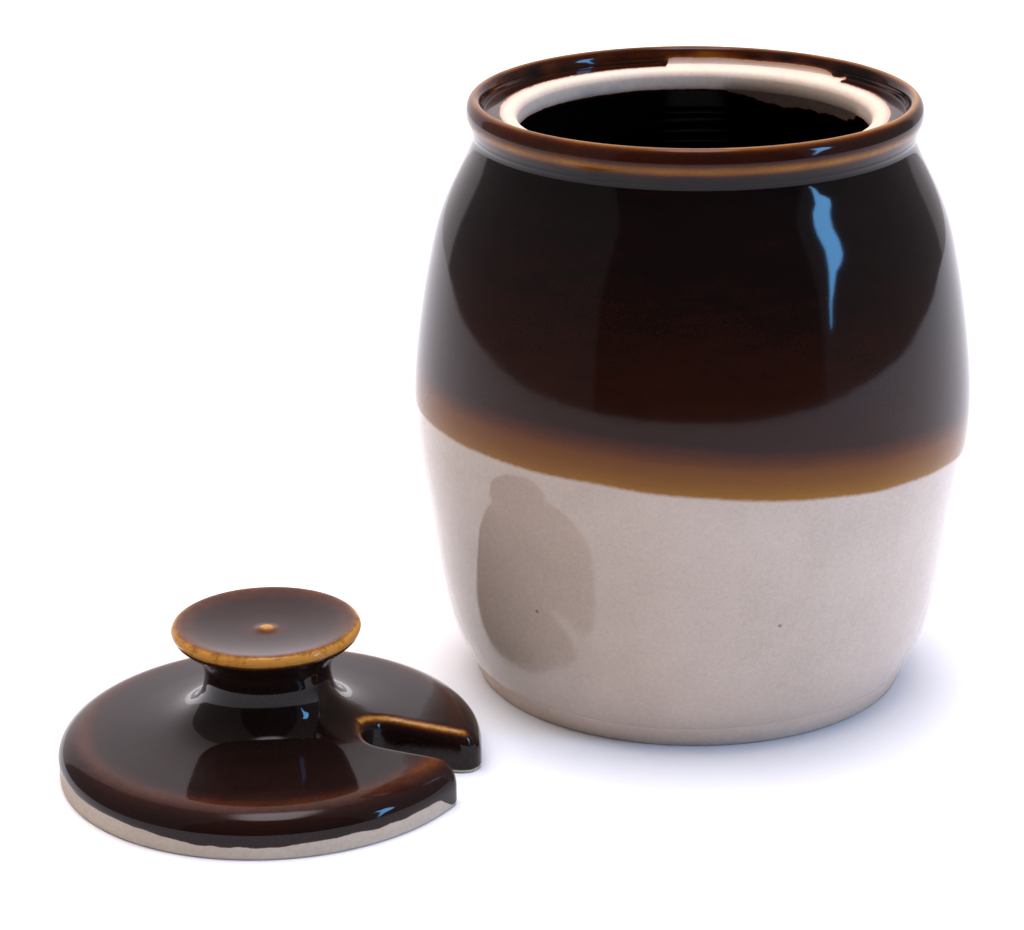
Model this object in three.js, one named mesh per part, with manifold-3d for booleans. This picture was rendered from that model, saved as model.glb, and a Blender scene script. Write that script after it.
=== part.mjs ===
// Butter crock: a barrel-shaped stoneware jar and its loose lid, which lies beside the jar.
// Lengths are in millimetres and +Z is up. The origin is the middle of the jar's flat foot.
import * as THREE from 'three';
import { mergeVertices } from 'three/addons/utils/BufferGeometryUtils.js';
import Module from 'manifold-3d';

// The jar's outside, from the foot up. Heights count from the foot, drops count down from the top.
const jarHeight = 137.6;
const footRadius = 50.2;
const bevelRadius = 51.6;
const bevelHeight = 3.1;
const hipRadius = 57.4;
const hipHeight = 16.6;
const flankRadius = 61.2;
const flankHeight = 38;
const bellyRadius = 64.4;
const bellyHeight = 69;
const shoulderRadius = 59.1;
const shoulderDrop = 32;
const throatRadius = 50.9;
const throatDrop = 12.2;
const neckRadius = 50.3;
const neckDrop = 7.6;

// The jar's rim is a rolled bead. Inside it a flat ledge carries the lid and ends at the mouth.
const rimRadius = 51.5;
const rimWidth = 4.1;
const rimRoll = 3.3;
const rimStart = -36;
const ledgeDrop = 3.6;
const ledgeWidth = 7.9;
const lipRound = 2.2;
const lipDepth = 4.4;

// The jar's clay.
const wall = 5.6;
const floorThickness = 7;
const heelWidth = 13;

// The lid is one plate and one knob. It drops into the rim with this much room all round.
const lidClearance = 0.6;
const edgeHeight = 5;
const edgeChamfer = 0.5;
const shoulderWidth = 6;
const shoulderHeight = 10.1;
const shoulderTurn = 78;
const plateMiddle = 11.7;
const hollowDepth = 1.5;
const bearingWidth = 7.4;

// The knob on the lid.
const collarRadius = 23;
const flareRadius = 16.4;
const flareHeight = 15.6;
const waistRadius = 13.9;
const waistHeight = 22.3;
const underRadius = 17;
const underHeight = 27.8;
const knobRadius = 20.8;
const knobTop = 34.4;
const knobRoll = 1.5;
const rollTurn = 112;
const dishRadius = 17.5;
const dishDepth = 1.8;
const nubRadius = 2.6;
const nubHeight = 0.8;

// The slot that a spoon or a butter knife stands in, cut through the plate from its edge.
const slotWidth = 10.8;
const slotInnerEnd = 21.2;
const slotCorner = 4;
const slotBearing = -12.3;

// Where the lid lies: clear of the belly, so that it lifts straight up past it.
const lidGap = 0.3;
const lidBearing = 214.2;

// How finely the round shapes are cut up: pieces per turn, per run of a smooth line and per corner.
const turns = 48;
const outsidePieces = 18;
const insidePieces = 16;
const collarPieces = 11;
const dishPieces = 6;
const rimPieces = 12;
const roundPieces = 5;
const cornerPieces = 8;
const sameSpot = 1e-4;
const margin = 2;

const ledgeRadius = rimRadius - rimWidth;
const ledgeHeight = jarHeight - ledgeDrop;
const mouthRadius = ledgeRadius - ledgeWidth;
const lidRadius = ledgeRadius - lidClearance;
const lidDistance = bellyRadius + lidRadius + lidGap;

const point = (radius, height) => new THREE.Vector2(radius, height);

function smooth(points, pieces) {
  return new THREE.SplineCurve(points).getPoints(pieces);
}

// Points on an elliptical arc, with its angles in degrees.
function arc(centre, radiusAcross, radiusUp, from, to, pieces) {
  const start = THREE.MathUtils.degToRad(from);
  const end = THREE.MathUtils.degToRad(to);
  const curve = new THREE.EllipseCurve(centre.x, centre.y, radiusAcross, radiusUp, start, end, end < start);
  return curve.getPoints(pieces);
}

// Turns an outline of radius and height round the Z axis.
function turned(outline) {
  const geometry = new THREE.LatheGeometry(outline, turns);
  geometry.rotateX(Math.PI / 2);
  return geometry;
}

function jarOutline() {
  const outside = smooth([
    point(bevelRadius, bevelHeight),
    point(hipRadius, hipHeight),
    point(flankRadius, flankHeight),
    point(bellyRadius, bellyHeight),
    point(shoulderRadius, jarHeight - shoulderDrop),
    point(throatRadius, jarHeight - throatDrop),
    point(neckRadius, jarHeight - neckDrop),
  ], outsidePieces);
  const rimCentre = point(rimRadius - rimWidth / 2, jarHeight - rimRoll);
  const rim = arc(rimCentre, rimWidth / 2, rimRoll, rimStart, 180, rimPieces);
  const lipCentre = point(mouthRadius + lipRound, ledgeHeight - lipRound);
  const lip = arc(lipCentre, lipRound, lipRound, 90, 180, roundPieces);
  const inside = smooth([
    point(mouthRadius, ledgeHeight - lipDepth),
    point(throatRadius - wall, jarHeight - throatDrop - lipDepth),
    point(shoulderRadius - wall, jarHeight - shoulderDrop),
    point(bellyRadius - wall, bellyHeight),
    point(flankRadius - wall, flankHeight),
    point(hipRadius - wall, hipHeight + wall / 2),
    point(hipRadius - wall - heelWidth, floorThickness),
  ], insidePieces);
  return [
    point(0, 0),
    point(footRadius, 0),
    ...outside,
    ...rim,
    point(ledgeRadius, ledgeHeight),
    ...lip,
    ...inside,
    point(0, floorThickness),
  ];
}

function lidOutline() {
  const bearingRadius = lidRadius - bearingWidth;
  const shoulderCentre = point(lidRadius - shoulderWidth, edgeHeight);
  const shoulder = arc(shoulderCentre, shoulderWidth, shoulderHeight - edgeHeight, 0, shoulderTurn, roundPieces);
  const collar = smooth([
    point(collarRadius, plateMiddle),
    point(flareRadius, flareHeight),
    point(waistRadius, waistHeight),
    point(underRadius, underHeight),
    point(knobRadius, knobTop - knobRoll),
  ], collarPieces);
  const rollCentre = point(knobRadius - knobRoll, knobTop - knobRoll);
  const roll = arc(rollCentre, knobRoll, knobRoll, 0, rollTurn, roundPieces);
  const dishHeight = knobTop - dishDepth;
  const dish = smooth([
    point(dishRadius, knobTop - knobRoll / 4),
    point(dishRadius / 2, dishHeight + nubHeight / 4),
    point(nubRadius, dishHeight),
    point(0, dishHeight + nubHeight),
  ], dishPieces);
  return [
    point(0, hollowDepth),
    point(bearingRadius - hollowDepth, hollowDepth),
    point(bearingRadius, 0),
    point(lidRadius - edgeChamfer, 0),
    point(lidRadius, edgeChamfer),
    ...shoulder,
    ...collar,
    ...roll.slice(1),
    ...dish,
  ];
}

// The slot's outline, along +X. Its outer corners run tangent into the plate's round edge.
function slotOutline() {
  const half = slotWidth / 2;
  const cornerAcross = half + slotCorner;
  const cornerAlong = Math.sqrt((lidRadius - slotCorner) ** 2 - cornerAcross ** 2);
  const leave = Math.atan2(cornerAcross, cornerAlong);
  const outer = lidRadius + margin;
  const shape = new THREE.Shape();
  shape.absarc(slotInnerEnd + half, 0, half, Math.PI / 2, -Math.PI / 2, false);
  shape.absarc(cornerAlong, -cornerAcross, slotCorner, Math.PI / 2, -leave, true);
  shape.lineTo(outer * Math.cos(leave), -outer * Math.sin(leave));
  shape.lineTo(outer + margin, 0);
  shape.lineTo(outer * Math.cos(leave), outer * Math.sin(leave));
  shape.absarc(cornerAlong, cornerAcross, slotCorner, leave, -Math.PI / 2, true);
  return shape;
}

const wasm = await Module();
wasm.setup();

function solid(geometry) {
  const bare = geometry.clone();
  bare.deleteAttribute('normal');
  bare.deleteAttribute('uv');
  const merged = mergeVertices(bare, sameSpot);
  return new wasm.Manifold(new wasm.Mesh({
    numProp: 3,
    vertProperties: new Float32Array(merged.attributes.position.array),
    triVerts: new Uint32Array(merged.index.array),
  }));
}

function cut(body, tool) {
  const mesh = solid(body).subtract(solid(tool)).getMesh();
  const geometry = new THREE.BufferGeometry();
  geometry.setAttribute('position', new THREE.BufferAttribute(mesh.vertProperties, 3));
  geometry.setIndex(new THREE.BufferAttribute(mesh.triVerts, 1));
  geometry.computeVertexNormals();
  return geometry;
}

function makeJar() {
  const stoneware = new THREE.MeshStandardMaterial({ color: 0x2a1712, roughness: 0.15, metalness: 0 });
  const jar = new THREE.Mesh(turned(jarOutline()), stoneware);
  jar.name = 'jar';
  return jar;
}

function makeLid() {
  const depth = plateMiddle + 2 * margin;
  const tool = new THREE.ExtrudeGeometry(slotOutline(), { depth, bevelEnabled: false, curveSegments: cornerPieces });
  tool.translate(0, 0, -margin);
  tool.rotateZ(THREE.MathUtils.degToRad(slotBearing));
  const stoneware = new THREE.MeshStandardMaterial({ color: 0x2e1a14, roughness: 0.15, metalness: 0 });
  const lid = new THREE.Mesh(cut(turned(lidOutline()), tool), stoneware);
  lid.name = 'lid';
  const bearing = THREE.MathUtils.degToRad(lidBearing);
  lid.position.set(lidDistance * Math.cos(bearing), lidDistance * Math.sin(bearing), 0);
  return lid;
}

const crock = new THREE.Group();
crock.add(makeJar(), makeLid());

export default crock;
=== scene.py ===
import math

import bmesh
import bpy
import numpy as np
from mathutils import Matrix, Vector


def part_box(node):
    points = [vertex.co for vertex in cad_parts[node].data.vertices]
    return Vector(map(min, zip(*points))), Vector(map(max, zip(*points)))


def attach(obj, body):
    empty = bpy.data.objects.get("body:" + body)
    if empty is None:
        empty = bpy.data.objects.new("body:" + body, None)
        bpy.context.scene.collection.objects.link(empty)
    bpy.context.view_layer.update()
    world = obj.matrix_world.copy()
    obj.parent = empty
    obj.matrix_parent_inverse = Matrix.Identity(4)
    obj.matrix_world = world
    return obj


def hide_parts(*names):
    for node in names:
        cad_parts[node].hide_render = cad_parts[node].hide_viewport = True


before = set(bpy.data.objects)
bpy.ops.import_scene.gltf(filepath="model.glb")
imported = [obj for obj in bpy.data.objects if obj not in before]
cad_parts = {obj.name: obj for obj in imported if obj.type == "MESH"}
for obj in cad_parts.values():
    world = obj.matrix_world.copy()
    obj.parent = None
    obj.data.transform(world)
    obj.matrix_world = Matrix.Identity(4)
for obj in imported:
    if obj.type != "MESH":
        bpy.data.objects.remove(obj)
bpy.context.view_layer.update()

# The jar: barrel-shaped stoneware with a rolled rim and a ledge that carries the lid.
# It was turned from buff clay and dipped twice: whole in clear glaze, then its top half in dark iron
# glaze. The foot and the ring where the lid sits were wiped bare before firing.
mm = 0.001
columns = 240


def smooth(points, steps):
    """Points on a smooth curve through the given ones, with so many steps to each stretch."""
    ends = np.array([points[0], *points, points[-1]], float)
    made = []
    for before, start, end, after in zip(ends, ends[1:], ends[2:], ends[3:]):
        for t in np.arange(steps) / steps:
            straight = 2 * start + (end - before) * t
            curved = (2 * before - 5 * start + 4 * end - after) * t**2
            closing = (3 * start - before - 3 * end + after) * t**3
            made.append((straight + curved + closing) / 2)
    made.append(ends[-1])
    return np.array(made)


def arc(centre, across, up, first, last, steps):
    """Points on part of an ellipse, with its angles in degrees."""
    turn = np.radians(np.linspace(first, last, steps + 1))
    return np.stack([centre[0] + across * np.cos(turn), centre[1] + up * np.sin(turn)], 1)


def straight(start, end, steps):
    return np.linspace(start, end, steps + 1)


def ease(low, high, value):
    """0 below low and 1 above high, with a smooth change between them."""
    t = np.clip((value - low) / (high - low), 0, 1)
    return t * t * (3 - 2 * t)


def bell(middle, width, value):
    return np.exp(-(((value - middle) / width) ** 2))


def hand(turn, seed, slowest, fastest, fall=1.0):
    """A line as a hand leaves it: waves round the pot, from slow to fast, within about -1 to 1."""
    chance = np.random.default_rng(seed)
    made = np.zeros_like(turn)
    for waves in range(slowest, fastest + 1):
        made += math.sqrt(2) * np.sin(waves * turn + chance.uniform(0, 2 * math.pi)) / waves**fall
    return made / math.sqrt(sum(w ** (-2 * fall) for w in range(slowest, fastest + 1))) / 2


foot_radius = 50.2
foot_edge = (foot_radius, 0)
foot_top = (51.6, 3.1)
bead_middle = (49.45, 134.3)
bead_across = 2.05
bead_up = 3.3
bead_first = -36
bead_last = 180
ledge_outer = (47.4, 134)
ledge_inner = (41.7, 134)
lip_middle = (41.7, 131.8)
lip_round = 2.2
floor_edge = (38.8, 7)
floor_middle = (0, 7)
base = straight((0, 0), foot_edge, 84)
bevel = straight(foot_edge, foot_top, 6)
side = smooth(
    [foot_top, (57.4, 16.6), (61.2, 38), (64.4, 69), (59.1, 105.6), (50.9, 125.4), (50.3, 130)], 18
)
bead = arc(bead_middle, bead_across, bead_up, bead_first, bead_last, 42)
ledge = straight(ledge_outer, ledge_inner, 18)
lip = arc(lip_middle, lip_round, lip_round, 90, 180, 8)
inside = smooth(
    [(39.5, 129.6), (45.3, 121), (53.5, 105.6), (58.8, 69), (55.6, 38), (51.8, 19.4), floor_edge], 12
)
well = straight(floor_edge, floor_middle, 16)
stretches = {
    "base": base,
    "bevel": bevel,
    "side": side,
    "under bead": straight(side[-1], bead[0], 4),
    "bead": bead,
    "wall": straight(bead[-1], ledge[0], 1),
    "ledge": ledge,
    "lip": lip,
    "inside": inside,
    "well": well,
}
outline = np.concatenate([stretch[:-1] for stretch in stretches.values()] + [well[-1:]])
run = np.concatenate([[0], np.cumsum(np.hypot(*np.diff(outline, axis=0).T))])
first_row = {}
row = 0
for name, stretch in stretches.items():
    first_row[name] = row
    row += len(stretch) - 1
start = {name: run[row] for name, row in first_row.items()}

along = np.gradient(outline, axis=0)
along /= np.hypot(along[:, 0], along[:, 1])[:, None]
turn = np.linspace(0, 2 * math.pi, columns + 1)
degrees = np.degrees(turn)
R, T = np.meshgrid(run, turn, indexing="ij")
height = np.repeat(outline[:, 1:], columns + 1, axis=1)
outward = R < start["wall"]

# where the clear glaze starts above the foot
foot_line = start["side"] + 2.6 + 0.5 * hand(T, 3, 1, 7)
# the dark glaze's edge on the ledge, which runs bare out to the wall over a part of its back
patch = ease(98.6, 97.4, degrees) * ease(40, 41.5, degrees)
ragged = ease(50.5, 47, degrees) * (0.5 + 0.5 * hand(turn, 8, 40, 90, 0.3))
ledge_line = start["ledge"] + 3.6 + 0.12 * hand(T, 5, 3, 40, 0.5) - 4.7 * patch * (1 - 0.5 * ragged)
# below the lip, the dark lining starts lower at the right of the back
lip_line = start["inside"] + 0.3 + 0.25 * hand(T, 6, 2, 60, 0.6)
lip_line += 4.2 * ease(18, 34, degrees) * ease(82, 60, degrees) * (1 + 0.12 * hand(turn, 9, 20, 90, 0.3))
skin = np.minimum(R - foot_line, np.maximum(ledge_line - R, R - lip_line))

# the dipped edge is tilted, as the jar hung from the hand
edge_height = 62.94 - 4.54 * np.cos(T) - 1.83 * np.sin(T) + 0.28 * hand(T, 11, 3, 24, 0.8)
dip = np.where(outward, height - edge_height, 60)

# how thin the glaze ran: under the bead, over its face, along its crest, and brushed inside it
mottle = hand(T, 21, 2, 34, 0.5)
bead_share = (R - start["bead"]) / (start["wall"] - start["bead"])
bead_angle = bead_first + (bead_last - bead_first) * bead_share
left_side = 0.5 - 0.5 * np.cos(T)
thin = 0.82 * bell(-26, 20, bead_angle) * (1 + 0.22 * mottle)
thin += (0.06 + 0.12 * left_side) * ease(-30, -10, bead_angle) * ease(90, 60, bead_angle)
thin += (0.92 - 0.2 * left_side) * bell(92, 20, bead_angle) * (1 + 0.2 * hand(T, 22, 1, 30, 0.4))
brush = 0.08 + 0.12 * left_side + 0.2 * hand(T, 23, 2, 40, 0.45)
thin += brush * ease(112, 140, bead_angle) * ease(start["ledge"] + 0.6, start["ledge"] - 0.4, R)
thin += 0.12 * ease(start["ledge"], start["ledge"] + 0.5, R) * ease(start["ledge"] + 4, start["ledge"], R)
thin += 0.35 * bell(0, 0.5, skin) * (R > start["bead"])
thin = np.clip(thin, 0, 1)

# how far the surface stands out: each glaze's own thickness, faint turning marks, the pot a
# little out of round, throwing rings inside, and rings under the foot
glaze_depth = np.where(R < start["bead"], 0.1, 0.22)
depth = -glaze_depth * (1 - ease(-0.16, 0.16, skin)) * ease(start["bevel"], start["side"], R)
depth -= 0.10 * (1 - ease(-0.2, 0.9, dip)) * outward
depth += 0.004 * np.sin(2 * math.pi * height / 9.3 + 2 * T) * (R > start["side"]) * outward
depth -= 0.05 * (1.4 + np.sin(2 * T + 0.8)) * (R > start["bevel"]) * outward
throwing = (R > start["inside"] + 8) & (R < start["well"])
depth += 0.22 * np.sin(2 * math.pi * height / 6.5 + T) * throwing
depth -= 0.16 * (0.5 - 0.5 * np.cos(2 * math.pi * R / 1.9)) * (R < foot_radius - 3)
radius = outline[:, :1] + along[:, 1:] * depth
level = outline[:, 1:] - along[:, :1] * depth
radius[-1] = 0
radius[0] = 0


def grid_faces(points, first=0):
    """The faces of a grid of points, which are numbered row by row from the first."""
    rows, across = points.shape[:2]
    number = first + np.arange(rows * across).reshape(rows, across)
    faces = np.stack([number[:-1, :-1], number[:-1, 1:], number[1:, 1:], number[1:, :-1]], -1)
    return faces.reshape(-1, 4)


def wrap(name, points, readings):
    """A mesh over a grid of points in mm, with its readings kept at each point."""
    return knit(name, points.reshape(-1, 3), grid_faces(points), readings)


def knit(name, points, faces, readings):
    """A smooth mesh of these faces, sewn where their points meet."""
    mesh = bpy.data.meshes.new(name)
    mesh.from_pydata((points * mm).tolist(), [], faces.tolist())
    for reading, values in readings.items():
        layer = mesh.attributes.new(reading, "FLOAT", "POINT")
        layer.data.foreach_set("value", np.ravel(values).astype(np.float32))
    sewn = bmesh.new()
    sewn.from_mesh(mesh)
    bmesh.ops.remove_doubles(sewn, verts=sewn.verts, dist=0.002 * mm)
    bmesh.ops.recalc_face_normals(sewn, faces=sewn.faces)
    sewn.to_mesh(mesh)
    sewn.free()
    mesh.shade_smooth()
    made = bpy.data.objects.new(name, mesh)
    bpy.context.scene.collection.objects.link(made)
    return made


jar_points = np.stack([radius * np.cos(T), radius * np.sin(T), level], -1)
jar = wrap("stoneware_jar", jar_points, {"skin": skin, "dip": dip, "thin": thin})


class Shade:
    """A shader socket. Sums on it add Math nodes, and node() adds any other node."""

    def __init__(self, tree, socket=None):
        self.tree = tree
        self.socket = socket

    def node(self, kind, settings=None, sockets=None, out=0):
        made = self.tree.nodes.new(kind)
        for name, value in (settings or {}).items():
            if name == "stops":
                while len(made.color_ramp.elements) < len(value):
                    made.color_ramp.elements.new(1)
                for element, (place, colour) in zip(made.color_ramp.elements, value):
                    element.position = place
                    element.color = (*colour, 1)
            else:
                setattr(made, name, value)
        for name, value in (sockets or {}).items():
            if isinstance(value, Shade):
                self.tree.links.new(value.socket, made.inputs[name])
            else:
                made.inputs[name].default_value = value
        return Shade(self.tree, made.outputs[out]) if len(made.outputs) else made

    def maths(self, operation, first, second):
        sockets = {0: first, 1: second}
        return self.node("ShaderNodeMath", {"operation": operation}, sockets)

    def __add__(self, other):
        return self.maths("ADD", self, other)

    __radd__ = __add__

    def __mul__(self, other):
        return self.maths("MULTIPLY", self, other)

    __rmul__ = __mul__

    def __sub__(self, other):
        return self.maths("SUBTRACT", self, other)

    def __rsub__(self, other):
        return self.maths("SUBTRACT", other, self)

    def larger(self, other):
        return self.maths("MAXIMUM", self, other)

    def between(self, low, high):
        """0 below low and 1 above high."""
        sockets = {"Value": self, "From Min": low, "From Max": high}
        return self.node("ShaderNodeMapRange", {"interpolation_type": "SMOOTHSTEP"}, sockets)

    def colours(self, stops):
        return self.node("ShaderNodeValToRGB", {"stops": stops}, {"Fac": self})

    def over(self, below, share):
        """This colour laid over another, where share is 1."""
        sockets = {0: share, 6: below, 7: self}
        return self.node("ShaderNodeMix", {"data_type": "RGBA"}, sockets, out=2)

    def reading(self, name):
        return self.node("ShaderNodeAttribute", {"attribute_name": name}, out="Fac")

    def grain(self, place, scale, detail=2.0, rough=0.5):
        sockets = {"Vector": place, "Scale": scale, "Detail": detail, "Roughness": rough}
        return self.node("ShaderNodeTexNoise", None, sockets, out="Fac")


def fired(name):
    """A new material with a Principled shader, as (material, its start, its shader node)."""
    material = bpy.data.materials.new(name)
    material.use_nodes = True
    tree = material.node_tree
    return material, Shade(tree), tree.nodes["Principled BSDF"]


def join(tree, sockets, shader):
    for name, value in sockets.items():
        tree.links.new(value.socket, shader.inputs[name])


jar_glaze, clay, shader = fired("jar_stoneware_glazes")
place = clay.node("ShaderNodeTexCoord", out="Object")
stretched = clay.node(
    "ShaderNodeMapping", {"vector_type": "POINT"}, {"Vector": place, "Scale": (1, 1, 4)}
)
fine = clay.grain(place, 2600, 2)
speck = clay.grain(place, 900, 3, 0.6)
cloud = clay.grain(place, 60, 4, 0.6)
streak = clay.grain(stretched, 70, 5, 0.65)
# the readings in mm, with their edges made grainy
edge_blur = 0.12
skin_at = clay.reading("skin") + (speck - 0.5) * 0.5
dip_at = clay.reading("dip") + (speck - 0.5) * 0.7 + (cloud - 0.5) * 0.6
glazed = skin_at.between(-edge_blur, edge_blur)
dipped = dip_at.between(-0.45, 0.65)

# dark iron glaze: amber where it ran thin, red-brown, then nearly black where it lies thick
amber_height = 13
warm_start = 8.0
warm_end = 56.0
lost = 1 - dip_at * (1 / amber_height)
warm = (1 - dip_at.between(warm_start, warm_end)) * 0.10
mottled = clay.reading("thin") * (0.5 + 0.6 * streak + 0.4 * speck)
ran = mottled.larger(lost).larger(warm) + (streak - 0.5) * 0.10 + (fine - 0.5) * 0.10
iron = ran.colours(
    [
        (0.0, (0.0050, 0.0030, 0.0028)),
        (0.15, (0.030, 0.0070, 0.0030)),
        (0.27, (0.060, 0.0140, 0.0030)),
        (0.4, (0.100, 0.0260, 0.0030)),
        (0.5, (0.140, 0.042, 0.0035)),
        (0.65, (0.170, 0.055, 0.0035)),
        (0.85, (0.220, 0.080, 0.0060)),
        (1.0, (0.28, 0.120, 0.012)),
    ]
)
# clear glaze over buff clay, with a few iron specks
cells = {"Vector": place, "Scale": 150.0}
spots = clay.node("ShaderNodeTexVoronoi", {"feature": "F1"}, cells, out="Distance")
chance = clay.node("ShaderNodeTexVoronoi", {"feature": "F1"}, cells, out="Color")
few = chance.node("ShaderNodeSeparateColor", None, {"Color": chance}, out="Red").between(0.93, 0.96)
iron_speck = (1 - spots.between(0.03, 0.09)) * few
tone = (cloud * 0.35 + fine * 0.35 + speck * 0.3).colours(
    [(0.38, (0.475, 0.380, 0.310)), (0.62, (0.57, 0.462, 0.385))]
)
brown = (0.10, 0.05, 0.03, 1)
cream = clay.node("ShaderNodeMix", {"data_type": "RGBA"}, {0: iron_speck * 0.7, 6: tone, 7: brown}, out=2)
# bare clay, flashed pink beside the glaze on the ledge; at the foot it is darkened towards the cream's
# tone as painted shade
bare = (cloud * 0.4 + speck * 0.6).colours([(0.3, (0.61, 0.475, 0.385)), (0.7, (0.72, 0.585, 0.485))])
flash = clay.reading("skin").between(-1.3, -0.1) * clay.reading("dip").between(20.0, 30.0)
pink = (0.50, 0.25, 0.19, 1)
bare = clay.node("ShaderNodeMix", {"data_type": "RGBA"}, {0: flash * 0.6, 6: bare, 7: pink}, out=2)
# painted shade: below 8 mm the bare clay is mixed 40% towards the darker cream tone, fading out by 16 mm,
# for the shade at the foot
up = clay.node("ShaderNodeSeparateXYZ", None, {"Vector": place}, out="Z")
bare = cream.over(bare, (1 - up.between(0.008, 0.016)) * 0.4)
colour = iron.over(cream, dipped).over(bare, glazed)
bare_rough = 0.82
glaze_ior = 1.3
sheen = 0.055 + 0.03 * cloud
rough = bare_rough - glazed * (bare_rough - sheen)
relief = (fine * 0.012 + speck * 0.03) * (1 - glazed) + cloud * 0.02
bump = clay.node("ShaderNodeBump", None, {"Strength": 1.0, "Distance": mm, "Height": relief})
gloss = glazed * (0.55 - dipped * 0.55)
jar_sockets = {"Base Color": colour, "Roughness": rough, "Normal": bump, "Coat Weight": gloss}
join(jar_glaze.node_tree, jar_sockets, shader)
shader.inputs["IOR"].default_value = glaze_ior
shader.inputs["Coat Roughness"].default_value = 0.05
jar.data.materials.append(jar_glaze)
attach(jar, "jar")
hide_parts("jar")

# The lid: one turned plate with a dished knob, and a slot cut in from its edge for a spoon.
# Dark iron glaze covers its top and the slot's walls; its lowest edge was wiped so it wouldn't
# stick. The glaze ran off every ridge and shows amber there.
lid_radius = 46.8
slot_turn = math.radians(-12.3)
around = 256
ridge_half = 8.7
ridge_round = 27.8
plate_round = 42.8
corner = 0.6
slot_width = 3.3

top = smooth(
    [(47, 9.2), (43, 9.75), (40.6, 10.05), (36, 10.4), (29, 11), (23.4, 11.9), (19.4, 13.4)]
    + [(16.6, 15.5), (14.9, 18), (14.15, 20.6), (13.9, 23.4), (14.6, 26.1), (16.5, 28.3)]
    + [(18.7, 30.1), (20.25, 31.6), (20.8, 33)],
    12,
)
roll = arc((19.3, 32.9), 1.5, 1.5, 4, 108, 16)
dish = smooth([(18.4, 34.3), (15.5, 33.75), (12, 33.2), (8, 32.75), (4.5, 32.55), (2.6, 32.6)]
              + [(1.3, 33.05), (0, 33.25)], 10)
inner = ridge_round - ridge_half
above = int(np.argmax(top[:, 0] < inner))
knob = np.concatenate([[(inner, np.interp(-inner, -top[:above + 1, 0], top[:above + 1, 1]))],
                       top[above:-1], roll[:-1], dish])


def plate_height(radius):
    return np.interp(-radius, -top[:above + 1, 0], top[:above + 1, 1])


# one side of the slot as seen from above, from its inner end out to the plate's edge
centre_out = math.sqrt((plate_round - corner) ** 2 - (ridge_half + corner) ** 2)
round_end = arc((ridge_round, 0), ridge_half, ridge_half, 180, 90, 20)
straight_side = straight((ridge_round, ridge_half), (centre_out, ridge_half), 18)
leave = math.degrees(math.atan2(ridge_half + corner, centre_out))
corner_middle = np.array((centre_out, ridge_half + corner))
round_corner = arc(corner_middle, corner, corner, -90, leave, 12)
side_line = np.concatenate([round_end[:-1], straight_side[:-1], round_corner])
facing = np.concatenate(
    [
        (np.array((ridge_round, 0)) - round_end[:-1]) / ridge_half,
        np.repeat([(0.0, -1.0)], len(straight_side) - 1, axis=0),
        (round_corner - corner_middle) / corner,
    ]
)
at_corner = np.zeros(len(side_line))
at_corner[-len(round_corner):] = ease(0, 1, np.linspace(0, 1, len(round_corner)))
flip = np.array((1, -1))
opening = np.arctan2(side_line[:, 1], side_line[:, 0])
ring_turn = np.linspace(opening[-1], 2 * math.pi - opening[-1], around + 1)[1:-1]
ring_way = np.stack([np.cos(ring_turn), np.sin(ring_turn)], 1)
loop_facing = np.concatenate([facing, ring_way, facing[::-1] * flip])
from_slot = np.minimum(ring_turn, 2 * math.pi - ring_turn) - opening[-1]
outer_edge = np.concatenate([at_corner, np.ones(len(ring_turn)), at_corner[::-1]])
full_round = np.concatenate([0 * at_corner, ease(0, 0.36, from_slot), 0 * at_corner])


def drawn_in(points):
    """Draws the plate's flat in from its edge where the rounding is wide, away from the slot."""
    radius = np.hypot(points[..., 0], points[..., 1])
    swing = np.abs(np.arctan2(points[..., 1], points[..., 0]))
    wide = 2.1 * ease(0, 0.36, swing - opening[-1])
    drawn = radius - wide * np.clip((radius - 28) / (plate_round - 28), 0, 1)
    return points * (drawn / radius)[..., None]


loop = drawn_in(np.concatenate([side_line, ring_way * plate_round, side_line[::-1] * flip]))
loop_radius = np.hypot(*loop.T)
in_slot = slot_width + (lid_radius - plate_round - slot_width) * outer_edge
fall_across = np.where(outer_edge < 1, in_slot, lid_radius - loop_radius)
rim_top = plate_height(loop_radius)
fall_down = 3.6 + 2.4 * outer_edge + (rim_top - 5 - 6) * full_round
spread = np.linspace(17, 44, 271)
tilt = np.interp(loop_radius, spread, np.gradient(plate_height(spread), spread))
tilt *= np.sum(loop_facing * loop / loop_radius[:, None], 1)


def underside(radius):
    """The lid's lower face: a flat bearing ring, and a shallow hollow inside it."""
    hollow = 1.5 * ease(39.4, 37.9, radius)
    return hollow + 0.12 * (0.5 - 0.5 * np.cos(2 * math.pi * radius / 2.1)) * (radius < 37.5)


def brow(points):
    """How thin the glaze lies where the plate turns over, thinner still close to the slot."""
    radius = np.hypot(points[..., 0], points[..., 1])
    swing = np.abs(np.arctan2(points[..., 1], points[..., 0]))
    near = 0.16 * np.sign(points[..., 1])
    return (0.27 - near * bell(0.2, 0.3, swing)) * bell(41.4, 2.9, radius)


lid_turn = np.arctan2(loop[:, 1], loop[:, 0]) + slot_turn
front = (0.5 - 0.5 * np.sin(lid_turn)) ** 16
wipe_line = 4.2 + 0.6 * np.cos(lid_turn - math.radians(205)) - 1.6 * front
wipe_line += 0.3 * hand(lid_turn, 31, 3, 60, 0.5)
first_half = np.arange(len(loop)) < len(loop) / 2
tapering = np.concatenate([0 * at_corner, from_slot, 0 * at_corner]) / np.where(first_half, 0.32, 0.14)
edge_share = ease(0, 1, tapering)
wipe_line = wipe_line * edge_share + (1 - edge_share) * (0.75 + 0.15 * hand(lid_turn, 32, 5, 60, 0.5))
far_side = np.where(first_half, 0.95, 0.4)
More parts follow.
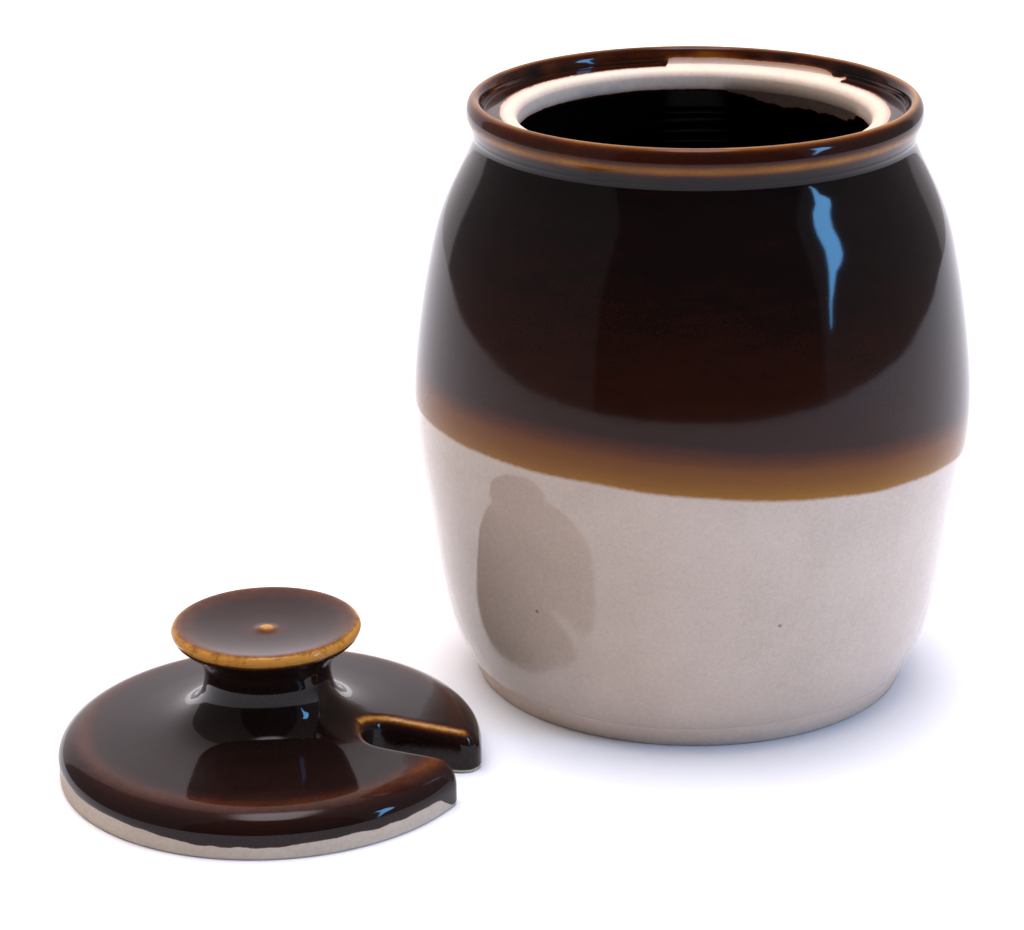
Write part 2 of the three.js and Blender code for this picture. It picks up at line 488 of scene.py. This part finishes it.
# the band round the whole edge: a rounded shoulder, an upright wall and a small lower corner
band_points = []
band_skin = []
band_thin = []
lower_round = 0.5
fillet = np.radians(np.linspace(0, 90, 19))
for t in fillet:
    flat = loop + loop_facing * (fall_across * np.sin(t))[:, None]
    rise = rim_top + tilt * fall_across * np.sin(t)
    rise -= (fall_down + tilt * fall_across) * (1 - np.cos(t))
    band_points.append(np.column_stack([flat, rise]))
    band_skin.append(rise - wipe_line)
    ridge = bell(math.radians(30), math.radians(16), t) * (1 - ease(0.2, 0.9, outer_edge))
    turned = outer_edge + (1 - outer_edge) * np.cos(t) ** 2
    band_thin.append(np.maximum(ridge * far_side, brow(flat) * turned))
wall_foot = loop + loop_facing * fall_across[:, None]
floor_level = underside(np.hypot(*wall_foot.T))
wall_top = rim_top - fall_down
for share in np.linspace(0, 1, 15)[1:]:
    rise = wall_top + (floor_level + lower_round - wall_top) * share
    band_points.append(np.column_stack([wall_foot, rise]))
    band_skin.append(rise - wipe_line)
    band_thin.append(np.zeros(len(loop)))
for t in np.radians((30, 60, 90)):
    flat = wall_foot - loop_facing * lower_round * (1 - math.cos(t))
    rise = floor_level + lower_round - lower_round * math.sin(t)
    band_points.append(np.column_stack([flat, rise]))
    band_skin.append(np.full(len(loop), -2.0))
    band_thin.append(np.zeros(len(loop)))
band_points = np.array(band_points)
band_skin = np.array(band_skin)
band_thin = np.array(band_thin)
# the wiped band lies back by the glaze's thickness, and the lowest row meets the underside
clayed = 0.2 * (1 - ease(-0.15, 0.15, band_skin))
band_points[1:, :, :2] -= loop_facing * clayed[1:, :, None]
band_points[-1, :, 2] = underside(np.hypot(band_points[-1, :, 0], band_points[-1, :, 1]))


def fan(side, level_of):
    """Rows of points that fill the plate between the slot's two sides."""
    rows = []
    for x, y in side:
        half_gap = math.atan2(y, x)
        swing = np.linspace(half_gap, 2 * math.pi - half_gap, around + 1)
        radius = np.full(around + 1, math.hypot(x, y))
        rows.append(np.column_stack([radius * np.cos(swing), radius * np.sin(swing), level_of(radius)]))
    return np.array(rows)


plate_top = drawn_in(fan(side_line, plate_height))
plate_top[..., 2] = plate_height(np.hypot(plate_top[..., 0], plate_top[..., 1]))
knob_turn = np.linspace(0, 2 * math.pi, around + 1)
knob_rows = np.stack(
    [
        knob[:, :1] * np.cos(knob_turn),
        knob[:, :1] * np.sin(knob_turn),
        np.repeat(knob[:, 1:], around + 1, axis=1),
    ],
    -1,
)
under_side = band_points[-1][: len(side_line), :2]
plate_under = fan(under_side, underside)
inner_under = np.linspace(under_side[0, 0], 0, 44)
under_rows = np.stack(
    [
        inner_under[:, None] * np.cos(knob_turn),
        inner_under[:, None] * np.sin(knob_turn),
        np.repeat(underside(inner_under)[:, None], around + 1, axis=1),
    ],
    -1,
)


to_slot = np.minimum(np.arange(around + 1), np.arange(around + 1)[::-1]) * 2 * math.pi / around
plate_radius = np.hypot(plate_top[..., 0], plate_top[..., 1])
ridge_near = bell(0, 1.2, to_slot[None, :] * plate_radius) * 0.03
knob_radius = np.hypot(knob_rows[..., 0], knob_rows[..., 1])
knob_level = knob_rows[..., 2]
knob_thin = 0.86 * bell(20.9, 1.4, knob_radius) * ease(31.3, 32.6, knob_level)
in_dish = knob_level > 32.3
knob_thin += (0.9 * bell(0, 1.6, knob_radius) + 0.2 * bell(0, 4.5, knob_radius)) * in_dish
knob_thin += (0.10 + 0.2 * bell(18.3, 2.6, knob_radius)) * in_dish
knob_thin[0] = np.maximum(knob_thin[0], ridge_near[0])
glazed_under = 37.3


def under_skin(points):
    """How far points of the lower face lie inside its glazed middle."""
    return glazed_under - np.hypot(points[..., 0], points[..., 1])


# each part's points, then how far they lie in the glaze and how thin it ran there
deep_in_glaze = 5.0
sheets = [
    (plate_top, deep_in_glaze, np.maximum(brow(plate_top), ridge_near)),
    (knob_rows, deep_in_glaze, knob_thin),
    (band_points, band_skin, band_thin),
    (plate_under, under_skin(plate_under), 0.0),
    (under_rows, under_skin(under_rows), 0.0),
]
count = 0
lid_points = []
lid_faces = []
lid_skin = []
lid_thin = []
for points, skin_part, thin_part in sheets:
    lid_faces.append(grid_faces(points, count))
    count += points.shape[0] * points.shape[1]
    lid_points.append(points.reshape(-1, 3))
    lid_skin.append(np.broadcast_to(skin_part, points.shape[:2]).ravel())
    lid_thin.append(np.broadcast_to(thin_part, points.shape[:2]).ravel())
lid_points = np.concatenate(lid_points)
spin = np.array([[math.cos(slot_turn), math.sin(slot_turn)], [-math.sin(slot_turn), math.cos(slot_turn)]])
lid_points[:, :2] = lid_points[:, :2] @ spin
readings = {"skin": np.concatenate(lid_skin), "thin": np.clip(np.concatenate(lid_thin), 0, 1)}
lid = knit("stoneware_lid", lid_points, np.concatenate(lid_faces), readings)
low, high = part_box("lid")
lid.location = (low.x + lid_radius * mm, (low.y + high.y) / 2, 0)

lid_glaze, clay, shader = fired("lid_stoneware_glaze")
place = clay.node("ShaderNodeTexCoord", out="Object")
fine = clay.grain(place, 2600, 2)
speck = clay.grain(place, 900, 3, 0.6)
cloud = clay.grain(place, 80, 4, 0.6)
streak = clay.grain(place, 260, 5, 0.7)
fleck = clay.grain(place, 1400, 3, 0.7)
skin_at = clay.reading("skin") + (speck - 0.5) * 0.5
glazed = skin_at.between(-edge_blur, edge_blur)
near_edge = (1 - clay.reading("skin").between(0.0, 0.5)) * 0.3
mottled = clay.reading("thin") * (0.05 + 1.2 * streak + 0.7 * fleck)
ran = mottled.larger(near_edge) + (cloud - 0.5) * 0.10 + (fine - 0.5) * 0.12 + 0.06
iron = ran.colours(
    [
        (0.0, (0.0050, 0.0030, 0.0028)),
        (0.2, (0.023, 0.0080, 0.0058)),
        (0.4, (0.060, 0.0165, 0.0065)),
        (0.65, (0.150, 0.048, 0.0085)),
        (0.85, (0.28, 0.115, 0.014)),
        (1.0, (0.42, 0.19, 0.035)),
    ]
)
bare = (cloud * 0.4 + speck * 0.6).colours([(0.3, (0.43, 0.355, 0.28)), (0.7, (0.55, 0.465, 0.38))])
colour = iron.over(bare, glazed)
rough = bare_rough - glazed * (bare_rough - (0.05 + 0.03 * cloud))
relief = (fine * 0.012 + speck * 0.03) * (1 - glazed) + cloud * 0.02
bump = clay.node("ShaderNodeBump", None, {"Strength": 1.0, "Distance": mm, "Height": relief})
join(lid_glaze.node_tree, {"Base Color": colour, "Roughness": rough, "Normal": bump}, shader)
shader.inputs["IOR"].default_value = glaze_ior
lid.data.materials.append(lid_glaze)
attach(lid, "lid")
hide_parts("lid")

# The table: a sheet of white card, wide enough to fill the view behind the crock.
# It is plain matt paper with hardly any tone in it.
card_radius = 900
card_rings = np.concatenate([np.linspace(0, 0.2, 12), np.linspace(0.25, 1, 12)]) * card_radius
R, T = np.meshgrid(card_rings, np.linspace(0, 2 * math.pi, 97), indexing="ij")
card_points = np.stack([R * np.cos(T), R * np.sin(T), np.full_like(R, -0.05)], -1)
card = wrap("card", card_points, {})
card_finish, paper, shader = fired("white_card")
place = paper.node("ShaderNodeTexCoord", out="Object")
tone = paper.grain(place, 30, 3).colours([(0.3, (0.875, 0.87, 0.91)), (0.7, (0.9, 0.895, 0.93))])
join(card_finish.node_tree, {"Base Color": tone}, shader)
shader.inputs["Roughness"].default_value = 0.95
shader.inputs["Specular IOR Level"].default_value = 0.1
card.data.materials.append(card_finish)

# The room: white paper stands behind the crock, and the room in front of it is dark.
# The world shader says how bright each direction is, by its bearing in degrees and its height;
# the camera itself sees white.
world = bpy.data.worlds.new("studio")
bpy.context.scene.world = world
world.use_nodes = True
room = Shade(world.node_tree)
way = room.node("ShaderNodeTexCoord", out="Generated")
split = {name: room.node("ShaderNodeSeparateXYZ", None, {"Vector": way}, out=name) for name in "XYZ"}
bearing = split["Y"].maths("ARCTAN2", split["Y"], split["X"]) * (180 / math.pi)
# the paper reaches up over the crock and is dimmer towards both its sides
behind = bearing.between(46, 49) * (1 - bearing.between(138, 141))
paper_top = 1 - split["Z"].between(0.955, 0.975)
# the dark room is darkest straight in front, where the one who looks stands
room_glow = 0.26
middle = bearing.between(-131, -128) * (1 - bearing.between(-36, -33))
shadowed = (1 - middle) * 0.9 + 0.1
paper_glow = 0.62 + 0.52 * bearing.between(48, 100) - 0.26 * bearing.between(112, 136)
bright = behind * paper_top * paper_glow + (1 - behind) * shadowed * room_glow
# a ceiling lamp straight above
lamp_width = 1 - (split["X"] * split["X"]).between(0.003, 0.05)
bright = bright + split["Z"].between(0.955, 0.985) * (0.8 + lamp_width * 6)
seen = room.node("ShaderNodeLightPath", out="Is Camera Ray")
bright = bright + seen * (1.1 - bright)
less_green = bright * (0.92 + seen * 0.08)
less_blue = bright * (0.97 + seen * 0.03)
glow = room.node("ShaderNodeCombineColor", None, {"Red": bright, "Green": less_green, "Blue": less_blue})
background = world.node_tree.nodes["Background"]
world.node_tree.links.new(glow.socket, background.inputs["Color"])


def soft_light(name, place, aim, side, power, colour):
    """A square lamp that lights the crock and isn't mirrored in its glaze."""
    lamp = bpy.data.lights.new(name, "AREA")
    lamp.shape = "SQUARE"
    lamp.size = side
    lamp.energy = power
    lamp.color = colour
    made = bpy.data.objects.new(name, lamp)
    made.location = place
    away = np.array(place) - np.array(aim)
    z = away / np.linalg.norm(away)
    x = np.cross((0, 0, 1), z) if abs(z[2]) < 0.99 else np.array((1.0, 0, 0))
    x /= np.linalg.norm(x)
    y = np.cross(z, x)
    made.matrix_world = Matrix([[x[i], y[i], z[i], place[i]] for i in range(3)] + [[0, 0, 0, 1]])
    made.visible_glossy = False
    bpy.context.scene.collection.objects.link(made)


soft_light("overhead", (-0.15, 0.2, 1.3), (0, 0, 0.05), 1.8, 31, (1, 0.97, 0.96))
soft_light("right_window", (1.1, -0.15, 0.5), (0, 0, 0.06), 0.8, 2.5, (1, 0.96, 0.98))

# A tall window at the right of the room, seen past a curtain, bluish, that only the glaze mirrors.
pane_centre = np.array((0.028, -0.047, 0.115))
pane_distance = 1.5
# the gap between the curtains: how high it is seen, and the bearings of its two sides, in degrees
gap = [
    (32, -26, -17.5),
    (29, -25.6, -16.4),
    (24.7, -24.9, -15.6),
    (20.3, -26, -17),
    (18, -26.6, -19.5),
    (15.8, -27.2, -23.5),
    (12.5, -28.2, -25.4),
    (7, -29.3, -27.8),
    (1.5, -30.8, -30.2),
]
pane_corners = []
for elevation, left, right in gap:
    for azimuth in (left, right):
        sideways = math.radians(azimuth)
        up = math.radians(elevation)
        way_out = (math.cos(sideways) * math.cos(up), math.sin(sideways) * math.cos(up), math.sin(up))
        pane_corners.append(pane_centre + pane_distance * np.array(way_out))
pane_faces = np.array([[0, 1, 3, 2]]) + 2 * np.arange(len(gap) - 1)[:, None]
pane = knit("window_pane", np.array(pane_corners) / mm, pane_faces, {})
daylight = bpy.data.materials.new("daylight")
daylight.use_nodes = True
daylight.node_tree.nodes.clear()
sky = Shade(daylight.node_tree)
shine = sky.node("ShaderNodeEmission", None, {"Color": (0.17, 0.5, 1, 1), "Strength": 26.0})
sky.node("ShaderNodeOutputMaterial", None, {"Surface": shine})
pane.data.materials.append(daylight)
pane.visible_camera = False

# The camera: it stands in front, a little above the rim, and looks down on the crock.
camera_lens = bpy.data.cameras.new("camera")
camera = bpy.data.objects.new("camera", camera_lens)
camera_lens.sensor_width = 36
camera_lens.lens = 108.33
camera_lens.clip_start = 0.01
pitch = 0.352029
yaw = -0.061522
roll_turn = -0.00978
camera.matrix_world = (
    Matrix.Translation((0, -0.679063, 0.298229))
    @ Matrix.Rotation(-yaw, 4, "Z")
    @ Matrix.Rotation(math.pi / 2 - pitch, 4, "X")
    @ Matrix.Rotation(roll_turn, 4, "Z")
)
bpy.context.scene.collection.objects.link(camera)
bpy.context.scene.camera = camera
bpy.context.scene.view_settings.view_transform = "Standard"
